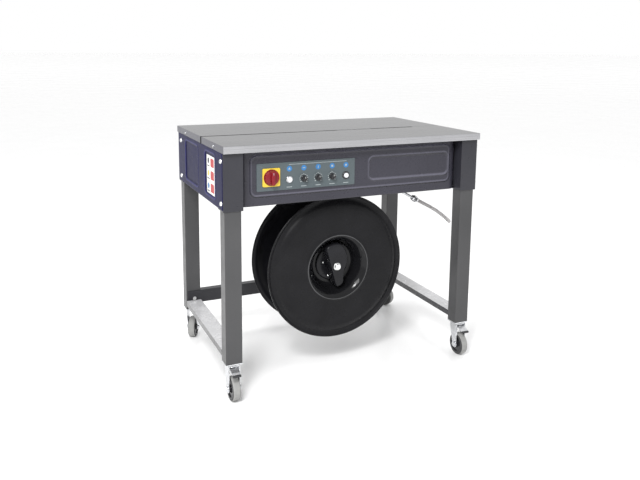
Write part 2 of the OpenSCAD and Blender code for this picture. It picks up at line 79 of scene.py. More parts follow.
# ------------------------------------------------------------------ materials
class Mat:
    """A small builder for node materials."""

    def __init__(self, name):
        self.m = bpy.data.materials.new(name)
        self.m.use_nodes = True
        self.t = self.m.node_tree
        self.b = self.t.nodes["Principled BSDF"]
        self.coord = self.t.nodes.new("ShaderNodeTexCoord")

    def node(self, kind, **props):
        n = self.t.nodes.new(kind)
        for k, v in props.items():
            if hasattr(n, k):
                setattr(n, k, v)
            else:
                n.inputs[k].default_value = v
        return n

    def link(self, a, b):
        self.t.links.new(a, b)

    def mapped(self, scale=(1, 1, 1), rot=(0, 0, 0)):
        n = self.t.nodes.new("ShaderNodeMapping")
        n.inputs["Scale"].default_value = scale
        n.inputs["Rotation"].default_value = rot
        self.link(self.coord.outputs["Object"], n.inputs["Vector"])
        return n.outputs["Vector"]

    def noise(self, scale, detail=4, rough=0.5, vec=None, distortion=0.0):
        n = self.t.nodes.new("ShaderNodeTexNoise")
        n.inputs["Scale"].default_value = scale
        n.inputs["Detail"].default_value = detail
        n.inputs["Roughness"].default_value = rough
        n.inputs["Distortion"].default_value = distortion
        self.link(vec or self.coord.outputs["Object"], n.inputs["Vector"])
        return n.outputs["Fac"]

    def ramp(self, fac, stops):
        n = self.t.nodes.new("ShaderNodeValToRGB")
        e = n.color_ramp.elements
        while len(e) < len(stops):
            e.new(0.5)
        for el, (p, c) in zip(e, stops):
            el.position = p
            el.color = (*c, 1) if hasattr(c, "__len__") else (c, c, c, 1)
        self.link(fac, n.inputs["Fac"])
        return n.outputs["Color"]

    def rng(self, fac, lo, hi, a=0.3, b=0.7):
        n = self.t.nodes.new("ShaderNodeMapRange")
        n.inputs["From Min"].default_value = a
        n.inputs["From Max"].default_value = b
        n.inputs["To Min"].default_value = lo
        n.inputs["To Max"].default_value = hi
        self.link(fac, n.inputs["Value"])
        return n.outputs["Result"]

    def mix(self, fac, a, b):
        n = self.t.nodes.new("ShaderNodeMix")
        n.data_type = "RGBA"
        ins = [i for i in n.inputs if i.type == "RGBA"]
        for sock, v in ((n.inputs[0], fac), (ins[0], a), (ins[1], b)):
            if isinstance(v, bpy.types.NodeSocket):
                self.link(v, sock)
            else:
                sock.default_value = (*v, 1) if hasattr(v, "__len__") else v
        return [o for o in n.outputs if o.type == "RGBA"][0]

    def bump(self, height, strength, distance=0.001, prev=None):
        n = self.t.nodes.new("ShaderNodeBump")
        n.inputs["Strength"].default_value = strength
        n.inputs["Distance"].default_value = distance
        self.link(height, n.inputs["Height"])
        if prev is not None:
            self.link(prev, n.inputs["Normal"])
        return n.outputs["Normal"]

    def put(self, **kw):
        for k, v in kw.items():
            s = self.b.inputs[k.replace("_", " ")]
            if isinstance(v, bpy.types.NodeSocket):
                self.link(v, s)
            else:
                s.default_value = (*v, 1) if hasattr(v, "__len__") and len(v) == 3 else v
        return self.m


def paint(name, dark, light, rough=(0.32, 0.46), grain=1400, bump=0.10, coat=0.0, dust=0.10, spec=0.5, painted_light=0):
    """Powder coat: fine orange peel, slow tone drift and a little dust held by the grain."""
    m = Mat(name)
    drift = m.noise(5, 3)
    col = m.mix(m.rng(drift, 0, 1), dark, light)
    specks = m.ramp(m.noise(260, 6, 0.7), [(0.60, 0.0), (0.72, 1.0)])
    col = m.mix(m.rng(specks, 0, dust, 0, 1), col, (0.22, 0.22, 0.23))
    peel = m.noise(grain, 2, 0.5)
    wave = m.noise(34, 2, 0.4)
    nrm = m.bump(wave, 0.035, 0.002)
    nrm = m.bump(peel, bump, 0.0004, nrm)
    if painted_light:
        # painted highlight on the upper sides of the pressed ridges and painted shade under them, read from the
        # sheet's per-vertex attribute
        at = m.t.nodes.new("ShaderNodeAttribute")
        at.attribute_name = "painted_light"
        col = m.mix(m.rng(at.outputs["Fac"], 0, 1, 0.5, 1.0), col, tuple(min(1, c * painted_light + 0.02) for c in light))
        col = m.mix(m.rng(at.outputs["Fac"], 1, 0, 0.0, 0.5), col, tuple(c * 0.25 for c in dark))
    r = m.rng(m.noise(40, 5, 0.6), rough[0], rough[1])
    return m.put(Base_Color=col, Roughness=r, Normal=nrm, Coat_Weight=coat, Coat_Roughness=0.12, Specular_IOR_Level=spec)


def brushed(name, base, rough=(0.22, 0.36), along="x", strength=0.16, streak=0.12):
    """Brushed sheet: long fine streaks in tone, roughness and height, with wiped marks."""
    m = Mat(name)
    sc = {"x": (6, 900, 900), "y": (900, 6, 900), "z": (900, 900, 6)}[along]
    sc2 = {"x": (1.2, 160, 160), "y": (160, 1.2, 160), "z": (160, 160, 1.2)}[along]
    fine = m.noise(1.0, 5, 0.65, m.mapped(sc))
    broad = m.noise(1.0, 3, 0.5, m.mapped(sc2))
    smear = m.noise(3.2, 4, 0.55, distortion=0.6)
    lo = tuple(c * (1 - streak) for c in base)
    hi = tuple(min(1, c * (1 + streak)) for c in base)
    col = m.mix(m.rng(fine, 0, 1), lo, hi)
    col = m.mix(m.rng(broad, 0, 0.35), col, tuple(c * 0.86 for c in base))
    col = m.mix(m.rng(smear, 0, 0.22, 0.45, 0.75), col, tuple(min(1, c * 1.15) for c in base))
    r = m.rng(fine, rough[0], rough[1])
    nrm = m.bump(fine, strength, 0.0003)
    return m.put(Base_Color=col, Metallic=1.0, Roughness=r, Normal=nrm)


def table_steel():
    """Brushed sheet with a painted highlight on its rolled edges, much brighter than the top; the edges facing left
    and right get a bluish painted shade that stands for the blue covers' reflection.
    """
    m = Mat("brushed_table")
    fine = m.noise(1.0, 5, 0.65, m.mapped((6, 900, 900)))
    broad = m.noise(1.0, 3, 0.5, m.mapped((0.8, 90, 160)))
    smear = m.noise(2.6, 4, 0.55, distortion=0.6)
    geo = m.t.nodes.new("ShaderNodeNewGeometry")
    sep = m.t.nodes.new("ShaderNodeSeparateXYZ")
    m.link(geo.outputs["Normal"], sep.inputs["Vector"])
    side = m.node("ShaderNodeMath", operation="ABSOLUTE")
    m.link(sep.outputs["X"], side.inputs[0])
    top = m.mix(m.rng(fine, 0, 1), (0.088, 0.088, 0.094), (0.112, 0.112, 0.118))
    # painted highlight: edges facing front and back are painted far brighter than the top; edges facing left and
    # right get bluish painted shade
    edge = m.mix(m.rng(fine, 0, 1), (0.50, 0.50, 0.52), (0.62, 0.62, 0.64))
    edge = m.mix(m.rng(side.outputs[0], 0, 1, 0.3, 0.8), edge, (0.13, 0.13, 0.16))
    col = m.mix(m.rng(sep.outputs["Z"], 0, 1, 0.35, 0.8), edge, top)
    col = m.mix(m.rng(broad, 0, 0.25), col, (0.10, 0.10, 0.11))
    col = m.mix(m.rng(smear, 0, 0.14, 0.45, 0.75), col, (0.16, 0.16, 0.17))
    # painted shade: a nearly black band on the two lips of the strap slot stands in for the slot's dark gap
    pos = m.t.nodes.new("ShaderNodeSeparateXYZ")
    m.link(m.coord.outputs["Object"], pos.inputs["Vector"])
    off = m.node("ShaderNodeMath", operation="ADD")
    m.link(pos.outputs["Y"], off.inputs[0])
    off.inputs[1].default_value = 0.040
    dist = m.node("ShaderNodeMath", operation="ABSOLUTE")
    m.link(off.outputs[0], dist.inputs[0])
    near = m.rng(dist.outputs[0], 1, 0, 0.0062, 0.0085)
    ends = [m.rng(pos.outputs["X"], 1, 0, 0.030, 0.036), m.rng(pos.outputs["X"], 0, 1, 0.160, 0.166)]
    both = m.node("ShaderNodeMath", operation="MAXIMUM")
    m.link(ends[0], both.inputs[0])
    m.link(ends[1], both.inputs[1])
    gate = m.node("ShaderNodeMath", operation="MULTIPLY")
    m.link(both.outputs[0], gate.inputs[0])
    m.link(m.rng(pos.outputs["X"], 1, 0, 0.331, 0.334), gate.inputs[1])
    slot_shade = m.node("ShaderNodeMath", operation="MULTIPLY")
    m.link(near, slot_shade.inputs[0])
    m.link(gate.outputs[0], slot_shade.inputs[1])
    col = m.mix(slot_shade.outputs[0], col, (0.012, 0.012, 0.014))
    return m.put(Base_Color=col, Metallic=1.0, Roughness=m.rng(fine, 0.20, 0.32), Normal=m.bump(fine, 0.12, 0.0003))


def metal(name, base, rough=(0.16, 0.30), spots=0.25, grain=500):
    """Zinc or chrome plate with faint mottling and scuffs."""
    m = Mat(name)
    mott = m.noise(70, 6, 0.65)
    scuff = m.ramp(m.noise(240, 8, 0.75, m.mapped((1, 1, 0.25), (0.4, 0.3, 0.2))), [(0.55, 0.0), (0.68, 1.0)])
    col = m.mix(m.rng(mott, 0, 1), tuple(c * (1 - spots) for c in base), base)
    col = m.mix(m.rng(scuff, 0, 0.3, 0, 1), col, tuple(c * 0.6 for c in base))
    r = m.rng(m.noise(110, 5, 0.6), rough[0], rough[1])
    return m.put(Base_Color=col, Metallic=1.0, Roughness=r, Normal=m.bump(m.noise(grain, 3), 0.06, 0.0004))


def plastic(name, base, rough=(0.28, 0.42), grain=900, bump=0.05, coat=0.0, spec=0.5, drift=0.25):
    """Moulded plastic: fine spark grain, soft flow marks, hairline scratches."""
    m = Mat(name)
    flow = m.noise(9, 3, 0.5, distortion=1.2)
    col = m.mix(m.rng(flow, 0, 1), tuple(c * (1 - drift) for c in base), tuple(min(1, c * (1 + drift)) for c in base))
    scratch = m.ramp(m.noise(60, 8, 0.8, m.mapped((1, 6, 6), (0.3, 0.8, 0.5))), [(0.62, 0.0), (0.70, 1.0)])
    col = m.mix(m.rng(scratch, 0, 0.12, 0, 1), col, tuple(min(1, c + 0.08) for c in base))
    r = m.rng(m.noise(24, 5, 0.6), rough[0], rough[1])
    nrm = m.bump(m.noise(grain, 2), bump, 0.0003)
    return m.put(Base_Color=col, Roughness=r, Normal=nrm, Coat_Weight=coat, Coat_Roughness=0.08, Specular_IOR_Level=spec)


def rubber(name, base, rough=(0.6, 0.8)):
    m = Mat(name)
    wear = m.noise(50, 6, 0.7)
    col = m.mix(m.rng(wear, 0, 1), tuple(c * 0.78 for c in base), base)
    dirt = m.ramp(m.noise(18, 8, 0.75), [(0.50, 0.0), (0.68, 1.0)])
    col = m.mix(m.rng(dirt, 0, 0.35, 0, 1), col, tuple(c * 0.45 for c in base))
    return m.put(Base_Color=col, Roughness=m.rng(wear, rough[0], rough[1]), Normal=m.bump(m.noise(700, 4), 0.22, 0.0005))


M = {
    "grey": paint("powder_coat_grey", (0.043, 0.043, 0.045), (0.055, 0.055, 0.057), (0.28, 0.40)),
    "post": paint("post_paint", (0.020, 0.020, 0.026), (0.028, 0.028, 0.035), (0.26, 0.36), spec=0.45),
    "panel": paint("powder_coat_panel", (0.027, 0.026, 0.036), (0.034, 0.033, 0.045), (0.24, 0.34), spec=0.40, painted_light=2.6),
    "blue": paint("side_cover_paint", (0.008, 0.008, 0.040), (0.012, 0.012, 0.054), (0.26, 0.34), bump=0.06, dust=0.02, spec=0.035, painted_light=2.4),
    "dark": paint("dark_paint", (0.014, 0.014, 0.018), (0.022, 0.022, 0.026), (0.36, 0.5)),
    "steel": table_steel(),
    "zinc": metal("zinc_plate", (0.74, 0.75, 0.77)),
    "screw": metal("screw_nickel", (0.80, 0.81, 0.80), (0.18, 0.28), 0.12),
    "machined": brushed("machined_steel", (0.50, 0.50, 0.49), (0.25, 0.40), "z"),
    "cast": metal("cast_housing", (0.30, 0.31, 0.32), (0.5, 0.7), 0.3, 260),
    "motor": paint("motor_paint", (0.10, 0.15, 0.22), (0.13, 0.18, 0.26)),
    "plate": paint("control_plate_green", (0.070, 0.088, 0.096), (0.080, 0.099, 0.106), (0.36, 0.5), 1800, 0.06, dust=0.02, spec=0.35),
    "yellow": plastic("switch_yellow", (0.66, 0.46, 0.035), (0.30, 0.42), drift=0.06),
    "red": plastic("switch_red", (0.19, 0.007, 0.013), (0.24, 0.34), spec=0.35, drift=0.10),
    "white": plastic("button_white", (0.62, 0.63, 0.66), (0.18, 0.28), drift=0.03, coat=0.3),
    "black": plastic("black_plastic", (0.017, 0.017, 0.019), (0.24, 0.36), drift=0.2),
    "reel": plastic("reel_black_satin", (0.0095, 0.0094, 0.0106), (0.25, 0.31), 1100, 0.03, spec=0.13, drift=0.16),
    "well": plastic("reel_black_gloss", (0.007, 0.007, 0.008), (0.08, 0.13), 500, 0.015, spec=0.22, drift=0.2),
    "reel_back": plastic("reel_black_back", (0.006, 0.006, 0.008), (0.35, 0.45), 1100, 0.04, spec=0.2),
    "pale": plastic("pale_housing", (0.62, 0.62, 0.60), drift=0.05),
    "belt": rubber("belt_rubber", (0.03, 0.03, 0.03)),
    "ink_white": plastic("ink_white", (0.72, 0.75, 0.74), (0.4, 0.5), drift=0.03),
    "ink_blue": plastic("ink_blue", (0.028, 0.150, 0.36), (0.35, 0.45), drift=0.06),
    "ink_pale": plastic("ink_pale", (0.30, 0.33, 0.34), (0.4, 0.5), drift=0.05),
    "ink_dark": plastic("ink_dark", (0.03, 0.03, 0.04), (0.4, 0.5)),
    "ink_red": plastic("ink_red", (0.42, 0.025, 0.03), (0.35, 0.45), drift=0.06),
    "label": plastic("label_white", (0.78, 0.78, 0.76), (0.35, 0.45), drift=0.03),
}


def rail_highlight_and_shade():
    """Rails with a painted highlight on their tops and painted shade on their sides."""
    m = Mat("rail_painted_light")
    sep = m.t.nodes.new("ShaderNodeSeparateXYZ")
    m.link(m.coord.outputs["Normal"], sep.inputs["Vector"])
    wear = m.noise(36, 5, 0.65)
    top_highlight = m.mix(m.rng(wear, 0, 1), (0.46, 0.46, 0.47), (0.56, 0.56, 0.57))
    side_shade = m.mix(m.rng(wear, 0, 1), (0.036, 0.036, 0.039), (0.050, 0.050, 0.053))
    col = m.mix(m.rng(sep.outputs["Z"], 0, 1, 0.4, 0.8), side_shade, top_highlight)
    return m.put(Base_Color=col, Roughness=m.rng(wear, 0.20, 0.32), Normal=m.bump(m.noise(1300, 2), 0.06, 0.0004), Coat_Weight=0.2, Coat_Roughness=0.12)


def tyre_rubber(angle):
    """Grey tread, with darker walls that face along the axle."""
    m = Mat(f"tyre_{angle}")
    a = math.radians(angle)
    dot = m.t.nodes.new("ShaderNodeVectorMath")
    dot.operation = "DOT_PRODUCT"
    m.link(m.coord.outputs["Normal"], dot.inputs[0])
    dot.inputs[1].default_value = (math.cos(a), math.sin(a), 0)
    side = m.node("ShaderNodeMath", operation="ABSOLUTE")
    m.link(dot.outputs["Value"], side.inputs[0])
    wear = m.noise(50, 6, 0.7)
    tread = m.mix(m.rng(wear, 0, 1), (0.24, 0.24, 0.235), (0.32, 0.32, 0.31))
    wall = m.mix(m.rng(wear, 0, 1), (0.035, 0.035, 0.036), (0.055, 0.055, 0.056))
    col = m.mix(m.rng(side.outputs[0], 0, 1, 0.45, 0.75), tread, wall)
    return m.put(Base_Color=col, Roughness=m.rng(wear, 0.55, 0.75), Normal=m.bump(m.noise(700, 4), 0.2, 0.0005))


def clear_hose():
    m = Mat("clear_hose")
    haze = m.noise(45, 4, 0.6)
    col = m.mix(m.rng(haze, 0, 1), (0.58, 0.56, 0.56), (0.70, 0.68, 0.68))
    rings = m.noise(1.0, 2, 0.4, m.mapped((500, 40, 500)))
    return m.put(Base_Color=col, Roughness=m.rng(haze, 0.12, 0.3), Transmission_Weight=0.4, IOR=1.42,
                 Normal=m.bump(rings, 0.15, 0.0004))


M["hose"] = clear_hose()
M["rail"] = rail_highlight_and_shade()
M["tyre"], M["tyre_l"], M["tyre_r"] = tyre_rubber(0), tyre_rubber(152), tyre_rubber(208)
# painted highlight: a lighter grey material for the narrow ring at the rim of the reel's well
M["painted_light"] = plastic("reel_ring_painted_highlight", (0.055, 0.055, 0.058), (0.22, 0.30), 900, 0.02, spec=0.4)

MATS = {
    "grey": ["leg_front_left", "leg_front_right", "leg_rear_left", "leg_rear_right"],
    "post": ["corner_posts", "rear_panel"],
    "panel": ["front_panel"],
    "rail": ["side_rails"],
    "blue": ["left_cover", "right_cover"],
    "dark": ["rear_stretcher", "floor_pan", "reel_bracket"],
    "steel": ["table_front_plate", "table_rear_plate"],
    "screw": ["cover_screws", "frame_bolts", "handle_bolt"],
    "zinc": ["reel_shaft", "reel_bearings", "guide_rod", "guide_nut", "castor_plates", "castor_fork_front_left", "castor_fork_front_right",
             "castor_fork_rear_left", "castor_fork_rear_right", "brake_pedal_left", "brake_pedal_right"],
    "machined": ["motor_pulley", "gearbox_pulley", "cam_shaft", "sealing_head"],
    "plate": ["control_plate"], "yellow": ["switch_plate"], "red": ["main_switch_knob"], "white": ["reset_button", "feed_button"],
    "black": ["button_bezels", "reel_hub", "timer_knob_1", "timer_knob_2", "timer_knob_3", "wheel_front_left", "wheel_front_right",
              "wheel_rear_left", "wheel_rear_right", "locking_handle"],
    "reel": ["front_flange"], "reel_back": ["rear_flange"],
    "pale": ["control_box"], "motor": ["motor"], "cast": ["gearbox"], "belt": ["drive_belt", "feed_roller"],
    "tyre": ["tyre_front_left", "tyre_front_right"], "tyre_l": ["tyre_rear_left"], "tyre_r": ["tyre_rear_right"], "hose": ["guide_hose"],
}
for key, names in MATS.items():
    for n in names:
        me = N[n].data
        me.materials.clear()
        me.materials.append(M[key])


def soften(name, width=1.0, seg=2, angle=35):
    """Rounds a CAD node's sharp edges with modifiers; its mesh stays as it is."""
    o = N[name]
    w = o.modifiers.new("weld", "WELD")
    w.merge_threshold = 0.00001
    b = o.modifiers.new("bevel", "BEVEL")
    b.width = width * MM
    b.segments = seg
    b.limit_method = "ANGLE"
    b.angle_limit = math.radians(angle)
    b.use_clamp_overlap = True
    b.harden_normals = True
    return o


# ------------------------------------------------------------------ mesh helpers
def obj(name, verts, faces, mat, smooth=True, body=None, scale=MM):
    me = bpy.data.meshes.new(name)
    me.from_pydata([tuple(c * scale for c in v) for v in verts], [], faces)
    me.validate()
    me.update()
    bm = bmesh.new()
    bm.from_mesh(me)
    bmesh.ops.recalc_face_normals(bm, faces=bm.faces)
    bm.to_mesh(me)
    bm.free()
    for p in me.polygons:
        p.use_smooth = smooth
    for mm in (mat if isinstance(mat, (list, tuple)) else [mat]):
        me.materials.append(mm)
    o = bpy.data.objects.new(name, me)
    S.collection.objects.link(o)
    if body:
        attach(o, body)
    return o


def smooth_line(pts, n=4):
    """Catmull-Rom through pts."""
    out = []
    for i in range(len(pts) - 1):
        p0, p1, p2, p3 = pts[max(i - 1, 0)], pts[i], pts[i + 1], pts[min(i + 2, len(pts) - 1)]
        for k in range(n):
            t = k / n
            out.append(tuple(0.5 * (2 * b + (c - a) * t + (2 * a - 5 * b + 4 * c - d) * t * t + (3 * b - a - 3 * c + d) * t ** 3)
                             for a, b, c, d in zip(p0, p1, p2, p3)))
    out.append(tuple(pts[-1]))
    return out


def lathe_mesh(profile, origin, axis, seg=96, closed=True):
    """Verts and faces of a profile [(radius, along)] turned about axis through origin."""
    a = Vector(axis).normalized()
    u = a.orthogonal().normalized()
    v = a.cross(u)
    o = Vector(origin)
    verts, faces = [], []
    for (r, h) in profile:
        for k in range(seg):
            t = 2 * math.pi * k / seg
            verts.append(tuple(o + a * h + (u * math.cos(t) + v * math.sin(t)) * max(r, 0.02)))
    n = len(profile)
    for i in range(n if closed else n - 1):
        j = (i + 1) % n
        for k in range(seg):
            q = (k + 1) % seg
            faces.append((i * seg + k, i * seg + q, j * seg + q, j * seg + k))
    if not closed:
        faces.append(tuple(range(seg)))
        faces.append(tuple((n - 1) * seg + k for k in range(seg)))
    return verts, faces


def lathe(name, profile, origin, axis, mat, body, seg=96, closed=True):
    v, f = lathe_mesh(profile, origin, axis, seg, closed)
    return obj(name, v, f, mat, True, body)


def auto_smooth(o, angle=32):
    """Sharp edges by angle, so that smooth shading keeps crisp corners."""
    me = o.data
    bm = bmesh.new()
    bm.from_mesh(me)
    for e in bm.edges:
        if len(e.link_faces) == 2 and e.calc_face_angle(0) > math.radians(angle):
            e.smooth = False
    bm.to_mesh(me)
    bm.free()
    for p in me.polygons:
        p.use_smooth = True
    return o


def rbox(name, lo, hi, r, mat, body, seg=3):
    """A box with rounded edges."""
    bm = bmesh.new()
    bmesh.ops.create_cube(bm, size=1)
    for v in bm.verts:
        v.co = Vector([(lo[i] if v.co[i] < 0 else hi[i]) * MM for i in range(3)])
    bmesh.ops.bevel(bm, geom=list(bm.edges), offset=r * MM, segments=seg, profile=0.5, affect="EDGES")
    me = bpy.data.meshes.new(name)
    bm.to_mesh(me)
    bm.free()
    for p in me.polygons:
        p.use_smooth = True
    me.materials.append(mat)
    o = bpy.data.objects.new(name, me)
    S.collection.objects.link(o)
    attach(o, body)
    return o


def rr_dist(x, z, cx, cz, w, h, r):
    """Signed distance to a rounded rectangle."""
    qx, qz = abs(x - cx) - w / 2 + r, abs(z - cz) - h / 2 + r
    return math.hypot(max(qx, 0), max(qz, 0)) + min(max(qx, qz), 0) - r


def sstep(a, b, x):
    t = min(1, max(0, (x - a) / (b - a)))
    return t * t * (3 - 2 * t)


def rr_outline(w, h, r, n=8):
    pts = []
    for cx, cz, a0 in ((w / 2 - r, h / 2 - r, 0), (-w / 2 + r, h / 2 - r, 90), (-w / 2 + r, -h / 2 + r, 180), (w / 2 - r, -h / 2 + r, 270)):
        for k in range(n + 1):
            a = math.radians(a0 + 90 * k / n)
            pts.append((cx + r * math.cos(a), cz + r * math.sin(a)))
    return pts


def slab(name, outline, place, t, edge, mat, body, levels=3):
    """A flat piece with a softly rounded front edge. outline is in its plane; place(u, v, d) gives a point d in front of the base."""
    verts, faces = [], []
    n = len(outline)
    cx = sum(p[0] for p in outline) / n
    cz = sum(p[1] for p in outline) / n
    rings = [(0.0, 0.0), (0.0, t - edge)]
    for k in range(1, levels + 1):
        a = math.pi / 2 * k / levels
        rings.append((edge * (1 - math.cos(a)), t - edge + edge * math.sin(a)))
    for inset, d in rings:
        for (x, z) in outline:
            l = math.hypot(x - cx, z - cz) or 1
            verts.append(place(x - (x - cx) / l * inset, z - (z - cz) / l * inset, d))
    for i in range(len(rings) - 1):
        for k in range(n):
            q = (k + 1) % n
            faces.append((i * n + k, i * n + q, (i + 1) * n + q, (i + 1) * n + k))
    faces.append(tuple(range(n)))
    faces.append(tuple((len(rings) - 1) * n + k for k in range(n)))
    return auto_smooth(obj(name, verts, faces, mat, True, body), 40)


# ------------------------------------------------------------------ body sheets
def pressed_sheet(name, us, vs, place, skip, t, mat, node, painted_light):
    """A pressed sheet: a grid of points with its return edges, given thickness."""
    nu, nv = len(us), len(vs)
    verts = [place(u, v) for u in us for v in vs]
    faces = []
    for i in range(nu - 1):
        for j in range(nv - 1):
            if skip(us[i], us[i + 1], vs[j], vs[j + 1]):
                continue
            faces.append((i * nv + j, (i + 1) * nv + j, (i + 1) * nv + j + 1, i * nv + j + 1))
    o = obj(name, verts, faces, mat, True, "frame")
    # per-vertex painted light: above 0.5 paints a highlight, below 0.5 paints shade
    vals = [0.5 + 0.5 * painted_light(u, v) for u in us for v in vs]
    at = o.data.attributes.new("painted_light", "FLOAT", "POINT")
    at.data.foreach_set("value", [max(0.0, min(1.0, q)) for q in vals])
    s = o.modifiers.new("thickness", "SOLIDIFY")
    s.thickness = t * MM
    s.offset = 0
    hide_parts(node)
    return o


def spaced(a, b, step):
    n = max(1, round((b - a) / step))
    return [a + (b - a) * k / n for k in range(n + 1)]


PANEL_Y = -239.5


def front_height(x, z):
    d = rr_dist(x, z, 1, 686, 714, 132, 22)
    h = 3.0 * (1 - sstep(-5.5, 0.5, d))
    h += 1.8 * math.exp(-((d + 6.0) / 2.6) ** 2)
    d2 = rr_dist(x, z, 197, 686, 303, 77, 18)
    h += 2.0 * math.exp(-(d2 / 2.6) ** 2) - 1.6 * (1 - sstep(-7, -2.5, d2))
    return h


def front_painted_light(x, z):
    # painted highlight where the pressed sheet faces up and along both ridges, painted shade where it faces down
    d = rr_dist(x, z, 1, 686, 714, 132, 22)
    d2 = rr_dist(x, z, 197, 686, 303, 77, 18)
    e = 1.0
    up = front_height(x, z - e) - front_height(x, z + e)      # positive where the sheet faces up
    lit = max(0.0, min(1.0, up / 1.2))
    down_shade = max(0.0, min(1.0, -up / 1.6))
    ridge_highlight = 0.42 * math.exp(-((d + 6.0) / 2.2) ** 2) + 0.42 * math.exp(-(d2 / 2.2) ** 2)
    return max(-1.0, min(1.0, 0.75 * lit + ridge_highlight - 0.6 * down_shade))


def front_place(x, z):
    y = PANEL_Y - min(front_height(x, z), 5.2)
    ax = abs(x)
    if ax > 362:
        q = min(1, (ax - 362) / 21.4)
        y += 21.4 * (1 - math.sqrt(max(0, 1 - q * q)))
    if z < 598.5:
        y += 3.0 * (1 - math.sqrt(max(0, 1 - ((598.5 - z) / 3.5) ** 2)))
    return (x, y + 0.7, z)


us = spaced(-383.4, -362, 1.8)[:-1] + spaced(-362, 362, 1.9) + spaced(362, 383.4, 1.8)[1:]
vs = spaced(595.1, 598.5, 0.6)[:-1] + spaced(598.5, 764.8, 1.7)
sheet = pressed_sheet("front_panel_sheet", us, vs, front_place,
                      lambda a, b, c, d: a > -326 and b < -14 and c > 647 and d < 717, 1.3, M["panel"], "front_panel", front_painted_light)
rbox("front_panel_flange", (-362, -238.6, 595.0), (362, -218, 596.4), 0.5, M["panel"], "frame", 2)


def side_place(sign):
    def place(y, z):
        h = 0.0
        for cy, w in ((83, 166), (-141, 116)):
            d = rr_dist(y, z, cy, 684, w, 134, 16)
            h += 2.5 * (1 - sstep(-5.5, 1.0, d))
            h -= 0.7 * math.exp(-((d - 3.0) / 2.4) ** 2)
        x = 446.8 - h
        for e, q in ((268, abs(y)), ):
            if q > e - 2.5:
                x -= 1.2 * ((q - e + 2.5) / 2.5) ** 2
        return (sign * x, y, z)
    return place


def side_painted_light(y, z):
    # painted highlight along the border of each raised field and painted shade just inside it
    v = 0.0
    for cy, w in ((83, 166), (-141, 116)):
        d = rr_dist(y, z, cy, 684, w, 134, 16)
        v += 0.85 * math.exp(-((d - 1.5) / 2.4) ** 2) - 0.35 * math.exp(-((d + 5.0) / 3.0) ** 2)
    return v


for sign, nm in ((-1, "left"), (1, "right")):
    pressed_sheet(nm + "_cover_sheet", spaced(-268, -265.5, 0.6)[:-1] + spaced(-265.5, 265.5, 2.6) + spaced(265.5, 268, 0.6)[1:],
                  spaced(597, 764.8, 2.1), side_place(sign), lambda *a: False, 1.1, M["blue"], nm + "_cover", side_painted_light)

k = 0
for sign in (-1, 1):
    for y in (-259, 222):
        for z in (742, 617):
            k += 1
            dome = lathe(f"cover_screw_{k}", [(7.2, -0.4), (7.2, 0.9), (6.9, 2.3), (6.0, 3.9), (4.4, 5.2), (2.2, 5.9), (0.02, 6.1), (0.02, -0.4)],
                         (sign * 447.2, y, z), (sign, 0, 0), M["screw"], "frame", 40, False)
            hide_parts("cover_screws")

# ------------------------------------------------------------------ label on the left cover: plain colour blocks
LAB_X = -444.6


def lab(y, z, d):
    return (LAB_X - d, y, z)


slab("side_label", [(p[0] - 139, p[1] + 680) for p in rr_outline(84, 120, 3)], lab, 0.5, 0.2, M["label"], "frame", 2)
for i, (zc, tint) in enumerate(((720, "ink_dark"), (681, "yellow"), (642, "ink_blue"))):
    pl = lambda y, z, d: (LAB_X - 0.5 - d, y, z)
    slab(f"label_block_{i + 1}", [(p[0] - 158, p[1] + zc) for p in rr_outline(36, 27, 5)], pl, 0.25, 0.1, M["ink_red"], "frame", 1)
    slab(f"label_dot_{i + 1}", [(-117 + 9 * math.cos(math.radians(a)), zc + 3 + 9 * math.sin(math.radians(a))) for a in range(0, 360, 15)], pl, 0.25, 0.1,
         M[tint], "frame", 1)
    slab(f"label_line_{i + 1}", [(p[0] - 117, p[1] + zc - 13) for p in rr_outline(26, 3.2, 1.2, 3)], pl, 0.25, 0.1, M["ink_dark"], "frame", 1)

# ------------------------------------------------------------------ reel
RX, RY, RZ = -26.0, -88.0, 348.0
FRONT = [(13.2, 36), (62, 36), (70, 37), (75, 41.5), (79, 52), (84, 64), (90, 75), (97, 84), (103, 89.4), (106.5, 91.6), (109, 92), (112, 91.2), (115, 89.8), (120, 89.4),
         (157, 89.6), (196, 89.5), (206, 87.5), (216, 83), (224, 78), (230, 76), (235, 76.4), (239, 79.5), (241.5, 80.5), (244, 79)]
BACK = [(244, 75.5), (240.5, 76), (237, 73.6), (231, 72.6), (223, 74.4), (214, 79.6), (205, 84), (195.5, 86),
        (157, 86.1), (118, 86), (112, 88), (106, 88.5), (103.4, 87.4), (100, 83), (83.2, 41), (78.6, 35), (71, 32.6), (13.2, 32.6)]


def flange(name, sign, body, mats, node, r0):
    prof = smooth_line([(max(r, r0), h) for r, h in FRONT], 3) + smooth_line([(max(r, r0), h) for r, h in BACK], 3)
    v, f = lathe_mesh(prof, (RX, RY, RZ), (0, sign, 0), 160)
    o = obj(name, v, f, mats, True, body)
    for p in o.data.polygons:
        r = math.hypot(p.center.x * 1000 - RX, p.center.z * 1000 - RZ)
        # material 2 is a painted highlight on the narrow ring at the rim of the well
        p.material_index = 2 if 107.4 < r < 109.6 and len(mats) > 2 else 1 if r < 112 else 0
    auto_smooth(o, 50)
    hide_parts(node)
    return o


flange("front_flange_moulding", -1, "front_flange", [M["reel"], M["well"], M["painted_light"]], "front_flange", 13.2)
flange("rear_flange_moulding", 1, "reel", [M["reel_back"], M["reel_back"]], "rear_flange", 23.6)

# small pan-head screws in the well's floor, beside the handle
for i, (dx, dz) in enumerate(((-34, 6.5), (-15.5, -40.5), (34, -6.5), (40, -38))):
    lathe(f"handle_screw_{i + 1}", [(0.02, 3.4), (2.0, 3.2), (3.2, 2.3), (3.9, 0.8), (3.9, -0.5), (0.02, -0.5)],
          (RX + dx, RY - 43.3, RZ + dz), (0, -1, 0), M["screw"], "locking_handle", 24, False)

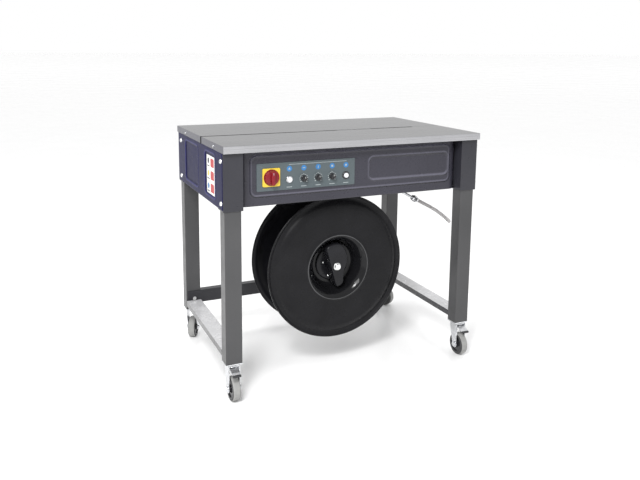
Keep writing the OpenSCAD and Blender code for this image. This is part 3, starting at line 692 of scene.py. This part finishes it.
# ------------------------------------------------------------------ locking handle
Y0 = RY - 36.3
hand_pts = [(-39, 61), (-36, 68), (-28, 73), (-12, 77), (4, 77.6), (16, 74), (26, 65), (34, 52), (39, 38), (40.5, 24), (39.5, 10), (35, -4), (29.5, -16),
            (26.5, -28), (26, -42), (25.5, -56), (22, -65), (13, -71.5), (4, -73), (-2, -68), (-8, -52), (-15, -26), (-27, 18)]
outline = smooth_line(hand_pts + [hand_pts[0]], 3)[:-1]


def hand(x, z, d):
    return (RX + x, Y0 - 6.6 - d, RZ + z)


grip_verts, grip_faces = [], []
n = len(outline)
rings = [(1.0, 0.0), (0.99, 14), (0.98, 26), (0.97, 33)]
for k in range(1, 6):
    a = math.pi / 2 * k / 5
    rings.append((0.97 - 0.15 * (1 - math.cos(a)), 33 + 6.2 * math.sin(a)))
rings += [(0.62, 39.3), (0.40, 39.4)]
HX, HZ = 6.0, 2.0
for sc, d in rings:
    for x, z in outline:
        grip_verts.append(hand(HX + (x - HX) * sc, HZ + (z - HZ) * (0.35 + 0.65 * sc), d))
for i in range(len(rings) - 1):
    for k in range(n):
        q = (k + 1) % n
        grip_faces.append((i * n + k, i * n + q, (i + 1) * n + q, (i + 1) * n + k))
grip_faces.append(tuple(range(n)))
grip_faces.append(tuple((len(rings) - 1) * n + k for k in range(n)))
M["grip"] = plastic("handle_black", (0.010, 0.010, 0.012), (0.22, 0.32), 900, 0.05, spec=0.22)
grip = auto_smooth(obj("locking_grip", grip_verts, grip_faces, M["grip"], True, "locking_handle"), 60)
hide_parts("locking_handle")
lathe("locking_base", [(13, 0.0), (13, 7), (52, 7), (56, 6.2), (58, 4), (58, 0.2), (56, 0.0)], (RX, Y0, RZ), (0, -1, 0), M["grip"], "locking_handle",
      96)
# washer and hexagon head
lathe("handle_washer", [(4, 0.0), (4, 2.0), (11.6, 2.0), (12.6, 1.5), (12.9, 0.6), (12.6, 0.0)], (RX, Y0 - 46, RZ), (0, -1, 0), M["screw"], "locking_handle", 64)
hexv, hexf = [], []
hr = [(10.2, 2.0), (10.4, 6.8), (9.4, 7.8), (7.2, 7.9), (0.02, 7.6)]
for r, d in hr:
    for k in range(24):
        a = math.radians(15 * k + 12)
        rad = r / max(math.cos(((15 * k) % 60 - 30) * math.pi / 180), 0.5) * 0.93 if r > 9.6 else r
        hexv.append((RX + rad * math.cos(a), Y0 - 46 - d, RZ + rad * math.sin(a)))
for i in range(len(hr) - 1):
    for k in range(24):
        q = (k + 1) % 24
        hexf.append((i * 24 + k, i * 24 + q, (i + 1) * 24 + q, (i + 1) * 24 + k))
hexf.append(tuple(range(24)))
bolt = auto_smooth(obj("handle_bolt_head", hexv, hexf, M["screw"], True, "locking_handle"), 28)
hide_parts("handle_bolt")

# ------------------------------------------------------------------ control panel
CY = -244.5
KX = [-229, -181, -133, -85, -37]
KZ = 671


def face(x, z, d):
    return (x, CY - d, z)


# thin printed line, round pictogram dots with a plain mark, tick rings and dashes
slab("print_line", [(p[0] - 133, p[1] + 717) for p in rr_outline(196, 1.3, 0.5, 3)], face, 0.2, 0.05, M["ink_pale"], "frame", 1)
for i, x in enumerate(KX):
    slab(f"print_dot_{i + 1}", [(x + 8.6 * math.cos(math.radians(a)), 704 + 8.6 * math.sin(math.radians(a))) for a in range(0, 360, 10)], face,
         0.25, 0.08, M["ink_blue"], "frame", 1)
    pl = lambda u, v, d: (u, CY - 0.25 - d, v)
    marks = [[(-4, -2.5), (0, 4.5), (4, -2.5)], [(-4, -1.2), (4, -1.2), (4, 1.2), (-4, 1.2)], [(-1.2, -4), (1.2, -4), (1.2, 4), (-1.2, 4)],
             [(-3.2, -3.2), (3.2, -3.2), (3.2, 3.2), (-3.2, 3.2)], [(-4.2, 0), (0, -4.2), (4.2, 0), (0, 4.2)]][i]
    slab(f"print_mark_{i + 1}", [(x + u, 704 + v) for u, v in marks], pl, 0.15, 0.04, M["ink_pale"], "frame", 1)
    slab(f"print_dash_{i + 1}", [(p[0] + x, p[1] + 647.5) for p in rr_outline(18, 2.0, 0.8, 3)], face, 0.2, 0.05, M["ink_pale"], "frame", 1)


def ticks(name, x, z, r0, r1, count, span):
    verts, faces = [], []
    for k in range(count):
        a = math.radians(90 + span / 2 - span * k / (count - 1))
        long = 1.5 if k in (0, count - 1, count // 2) else 0
        c, s = math.cos(a), math.sin(a)
        b = len(verts)
        for r, w in ((r0, -0.6), (r0, 0.6), (r1 + long, 0.6), (r1 + long, -0.6)):
            for d in (0.0, 0.2):
                verts.append((x + r * c - w * s, CY - d, z + r * s + w * c))
        faces += [(b + 1, b + 3, b + 5, b + 7), (b, b + 6, b + 4, b + 2), (b, b + 2, b + 3, b + 1), (b + 2, b + 4, b + 5, b + 3),
                  (b + 4, b + 6, b + 7, b + 5), (b + 6, b, b + 1, b + 7)]
    return obj(name, verts, faces, M["ink_white"], False, "frame")


for i in (1, 2, 3):
    x = KX[i]
    ticks(f"tick_ring_{i}", x, KZ, 12.2, 14.2, 11, 270)
    # fluted knob with a pointer
    verts, faces = [], []
    ring = 72
    lv = [(10, 0.5, 0), (10, 3.2, 0), (8.9, 4.0, 0.35), (8.6, 8.0, 0.4), (8.3, 11.2, 0.4), (7.4, 12.6, 0.1), (5.6, 13.0, 0), (0.03, 13.1, 0)]
    for r, d, fl in lv:
        for k in range(ring):
            a = 2 * math.pi * k / ring
            rad = r - fl * (0.5 + 0.5 * math.cos(12 * a)) * 1.6
            verts.append((x + rad * math.cos(a), CY - d, KZ + rad * math.sin(a)))
    for a in range(len(lv) - 1):
        for k in range(ring):
            q = (k + 1) % ring
            faces.append((a * ring + k, a * ring + q, (a + 1) * ring + q, (a + 1) * ring + k))
    faces.append(tuple(range(ring)))
    knob = auto_smooth(obj(f"timer_knob_cap_{i}", verts, faces, M["black"], True, f"timer_knob_{i}"), 40)
    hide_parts(f"timer_knob_{i}")
    rbox(f"timer_pointer_{i}", (x - 1.9, CY - 14.9, KZ - 7.5), (x + 1.9, CY - 12.6, KZ + 7.8), 0.7, M["black"], f"timer_knob_{i}")
    rbox(f"timer_mark_{i}", (x - 0.5, CY - 15.0, KZ + 1.5), (x + 0.5, CY - 14.7, KZ + 7.2), 0.1, M["ink_white"], f"timer_knob_{i}", 1)

# push-buttons: domed caps in their rings
for i, node, body, rb in ((0, "reset_button", "reset_button", 11.0), (4, "feed_button", "feed_button", 12.5)):
    x = KX[i]
    cap = lathe(node + "_cap", [(7.8, -9), (7.8, 4.8), (7.5, 5.8), (6.6, 6.3), (5.0, 6.1), (3, 5.8), (0.02, 5.7), (0.02, -9)], (x, CY, KZ), (0, -1, 0),
                M["white"], body, 64, False)
    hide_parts(node)
    auto_smooth(cap, 50)
    rim = lathe(node + "_bezel", [(8.1, 0.0), (8.1, 2.6), (8.8, 3.2), (10.0, 3.3), (rb - 0.5, 2.2), (rb, 0.8), (rb, 0.0)], (x, CY, KZ), (0, -1, 0),
                M["zinc"] if i == 0 else M["black"], "frame", 64)
    if i == 0:
        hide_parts("button_bezels")

# main switch
SX, SZ = -288, 681
yp = slab("switch_plate_moulding", [(p[0] + SX, p[1] + SZ) for p in rr_outline(56, 56, 4)], face, 4.0, 1.2, M["yellow"], "frame")
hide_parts("switch_plate")
lathe("switch_collar", [(20.5, 0.0), (20.5, 0.9), (24.6, 0.9), (25.2, 0.4), (25.2, 0.0)], (SX, CY - 4.0, SZ), (0, -1, 0), M["red"], "frame", 72)
verts, faces = [], []
ring = 80
lv = [(22.6, 5.2), (23, 6.0), (23, 9.0), (22.4, 11.2), (20.8, 12.0), (0.03, 12.1)]
for r, d in lv:
    for k in range(ring):
        a = 2 * math.pi * k / ring
        notch = 0.9 * max(0, math.cos(16 * a)) if r > 22 else 0
        verts.append((SX + (r - notch) * math.cos(a), CY - d, SZ + (r - notch) * math.sin(a)))
for a in range(len(lv) - 1):
    for k in range(ring):
        q = (k + 1) % ring
        faces.append((a * ring + k, a * ring + q, (a + 1) * ring + q, (a + 1) * ring + k))
faces.append(tuple(range(ring)))
rk = auto_smooth(obj("main_switch_disc", verts, faces, M["red"], True, "main_switch"), 40)
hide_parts("main_switch_knob")
bar = [(-4.0, -21.5), (4.0, -21.5), (5.4, -19), (5.8, -8), (6.6, 0), (5.8, 8), (5.4, 19), (4.0, 21.5), (-4.0, 21.5), (-5.4, 19), (-5.8, 8), (-6.6, 0), (-5.8, -8), (-5.4, -19)]
slab("main_switch_bar", [(SX + u, SZ + v) for u, v in bar], lambda u, v, d: (u, CY - 11.8 - d, v), 12.0, 2.2, M["red"], "main_switch", 3)
rbox("main_switch_mark", (SX - 0.8, CY - 24.1, SZ + 10), (SX + 0.8, CY - 23.6, SZ + 17), 0.2, M["ink_pale"], "main_switch", 1)

# ------------------------------------------------------------------ hose
HP = [(334, 526), (347, 519), (362, 511), (377, 503), (397, 492), (417, 480), (433, 469), (449, 457), (464, 445), (479, 431)]
GY = -85
line = smooth_line(HP, 4)


def tube(name, pts, radii, seg, mat, body):
    """A tube whose wall runs out along the outside and back along the inside."""
    verts, faces, rows = [], [], []
    order = [(i, radii[0]) for i in range(len(pts))] + [(i, radii[1]) for i in reversed(range(len(pts)))]
    for i, r in order:
        a, b = pts[max(i - 1, 0)], pts[min(i + 1, len(pts) - 1)]
        t = Vector((b[0] - a[0], 0, b[1] - a[1])).normalized()
        nn = Vector((-t.z, 0, t.x))
        rows.append(len(verts))
        for k in range(seg):
            w = 2 * math.pi * k / seg
            verts.append(tuple(Vector((pts[i][0], GY, pts[i][1])) + nn * (r * math.cos(w)) + Vector((0, 1, 0)) * (r * math.sin(w))))
    m = len(order)
    for i in range(m):
        j = (i + 1) % m
        for k in range(seg):
            q = (k + 1) % seg
            faces.append((i * seg + k, i * seg + q, j * seg + q, j * seg + k))
    return auto_smooth(obj(name, verts, faces, mat, True, body), 50)


hose = tube("strap_guide_hose", line, (6.2, 4.4), 28, M["hose"], "frame")
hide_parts("guide_hose")
path3 = [(p[0] * MM, GY * MM, p[1] * MM) for p in line]
length = sum((Vector(b) - Vector(a)).length for a, b in zip(path3, path3[1:]))
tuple(path3[0])
tip = smooth_line(HP[:4], 4)
tube("guide_rod_tip", tip[:11], (3.9, 0.05), 16, M["zinc"], "frame")

# ------------------------------------------------------------------ soften CAD edges
for nme, w in (("leg_front_left", 2.2), ("leg_front_right", 2.2), ("leg_rear_left", 2.2), ("leg_rear_right", 2.2)):
    soften(nme, 1.6, 3)
for nme in ("side_rails", "rear_stretcher", "corner_posts"):
    soften(nme, 1.2, 2)
for nme in ("table_front_plate", "table_rear_plate"):
    soften(nme, 0.9, 2)
for nme in ("castor_plates", "castor_fork_front_left", "castor_fork_front_right", "castor_fork_rear_left", "castor_fork_rear_right",
            "brake_pedal_left", "brake_pedal_right", "guide_nut", "reel_bracket", "control_plate"):
    soften(nme, 0.5, 2)

# dark grips on the brake pedals' tips
for side, sx in (("left", -1), ("right", 1)):
    rbox(f"pedal_grip_{side}", (sx * 415 - 13.2, -243.5 - 50.4, 88.4), (sx * 415 + 13.2, -243.5 - 44.5, 95.2), 1.2, M["black"], f"brake_pedal_{side}")

# ------------------------------------------------------------------ floor, world, lights
floor_mat = Mat("pale_floor")
tone = floor_mat.noise(1.2, 3)
floor_mat.put(Base_Color=floor_mat.mix(floor_mat.rng(tone, 0, 1), (0.93, 0.93, 0.93), (0.95, 0.95, 0.95)),
              Roughness=floor_mat.rng(tone, 0.16, 0.22), Specular_IOR_Level=0.35)
floor = obj("floor", [(-90000, -90000, -0.2), (90000, -90000, -0.2), (90000, 90000, -0.2), (-90000, 90000, -0.2)], [(0, 1, 2, 3)], floor_mat.m, False)

world = bpy.data.worlds.new("studio")
S.world = world
world.use_nodes = True
world.node_tree.nodes["Background"].inputs["Color"].default_value = (1, 1, 1, 1)
world.node_tree.nodes["Background"].inputs["Strength"].default_value = 1.0


def area(name, loc, target, size, power):
    d = bpy.data.lights.new(name, "AREA")
    d.shape = "RECTANGLE"
    d.size, d.size_y = size
    d.energy = power
    o = bpy.data.objects.new(name, d)
    S.collection.objects.link(o)
    o.location = loc
    o.rotation_euler = (Vector(target) - Vector(loc)).to_track_quat("-Z", "Y").to_euler()
    return o


area("key", (-2.2, -2.2, 2.5), (0, 0, 0.4), (1.3, 1.3), 55)
area("softbox", (-1.20, -1.60, 2.15), (0.0, -0.15, 0.35), (0.50, 0.50), 32)
area("top", (0.2, 0.6, 3.0), (0, 0, 0.5), (2.2, 1.4), 30)
S.view_settings.view_transform = "Standard"
S.view_settings.look = "None"
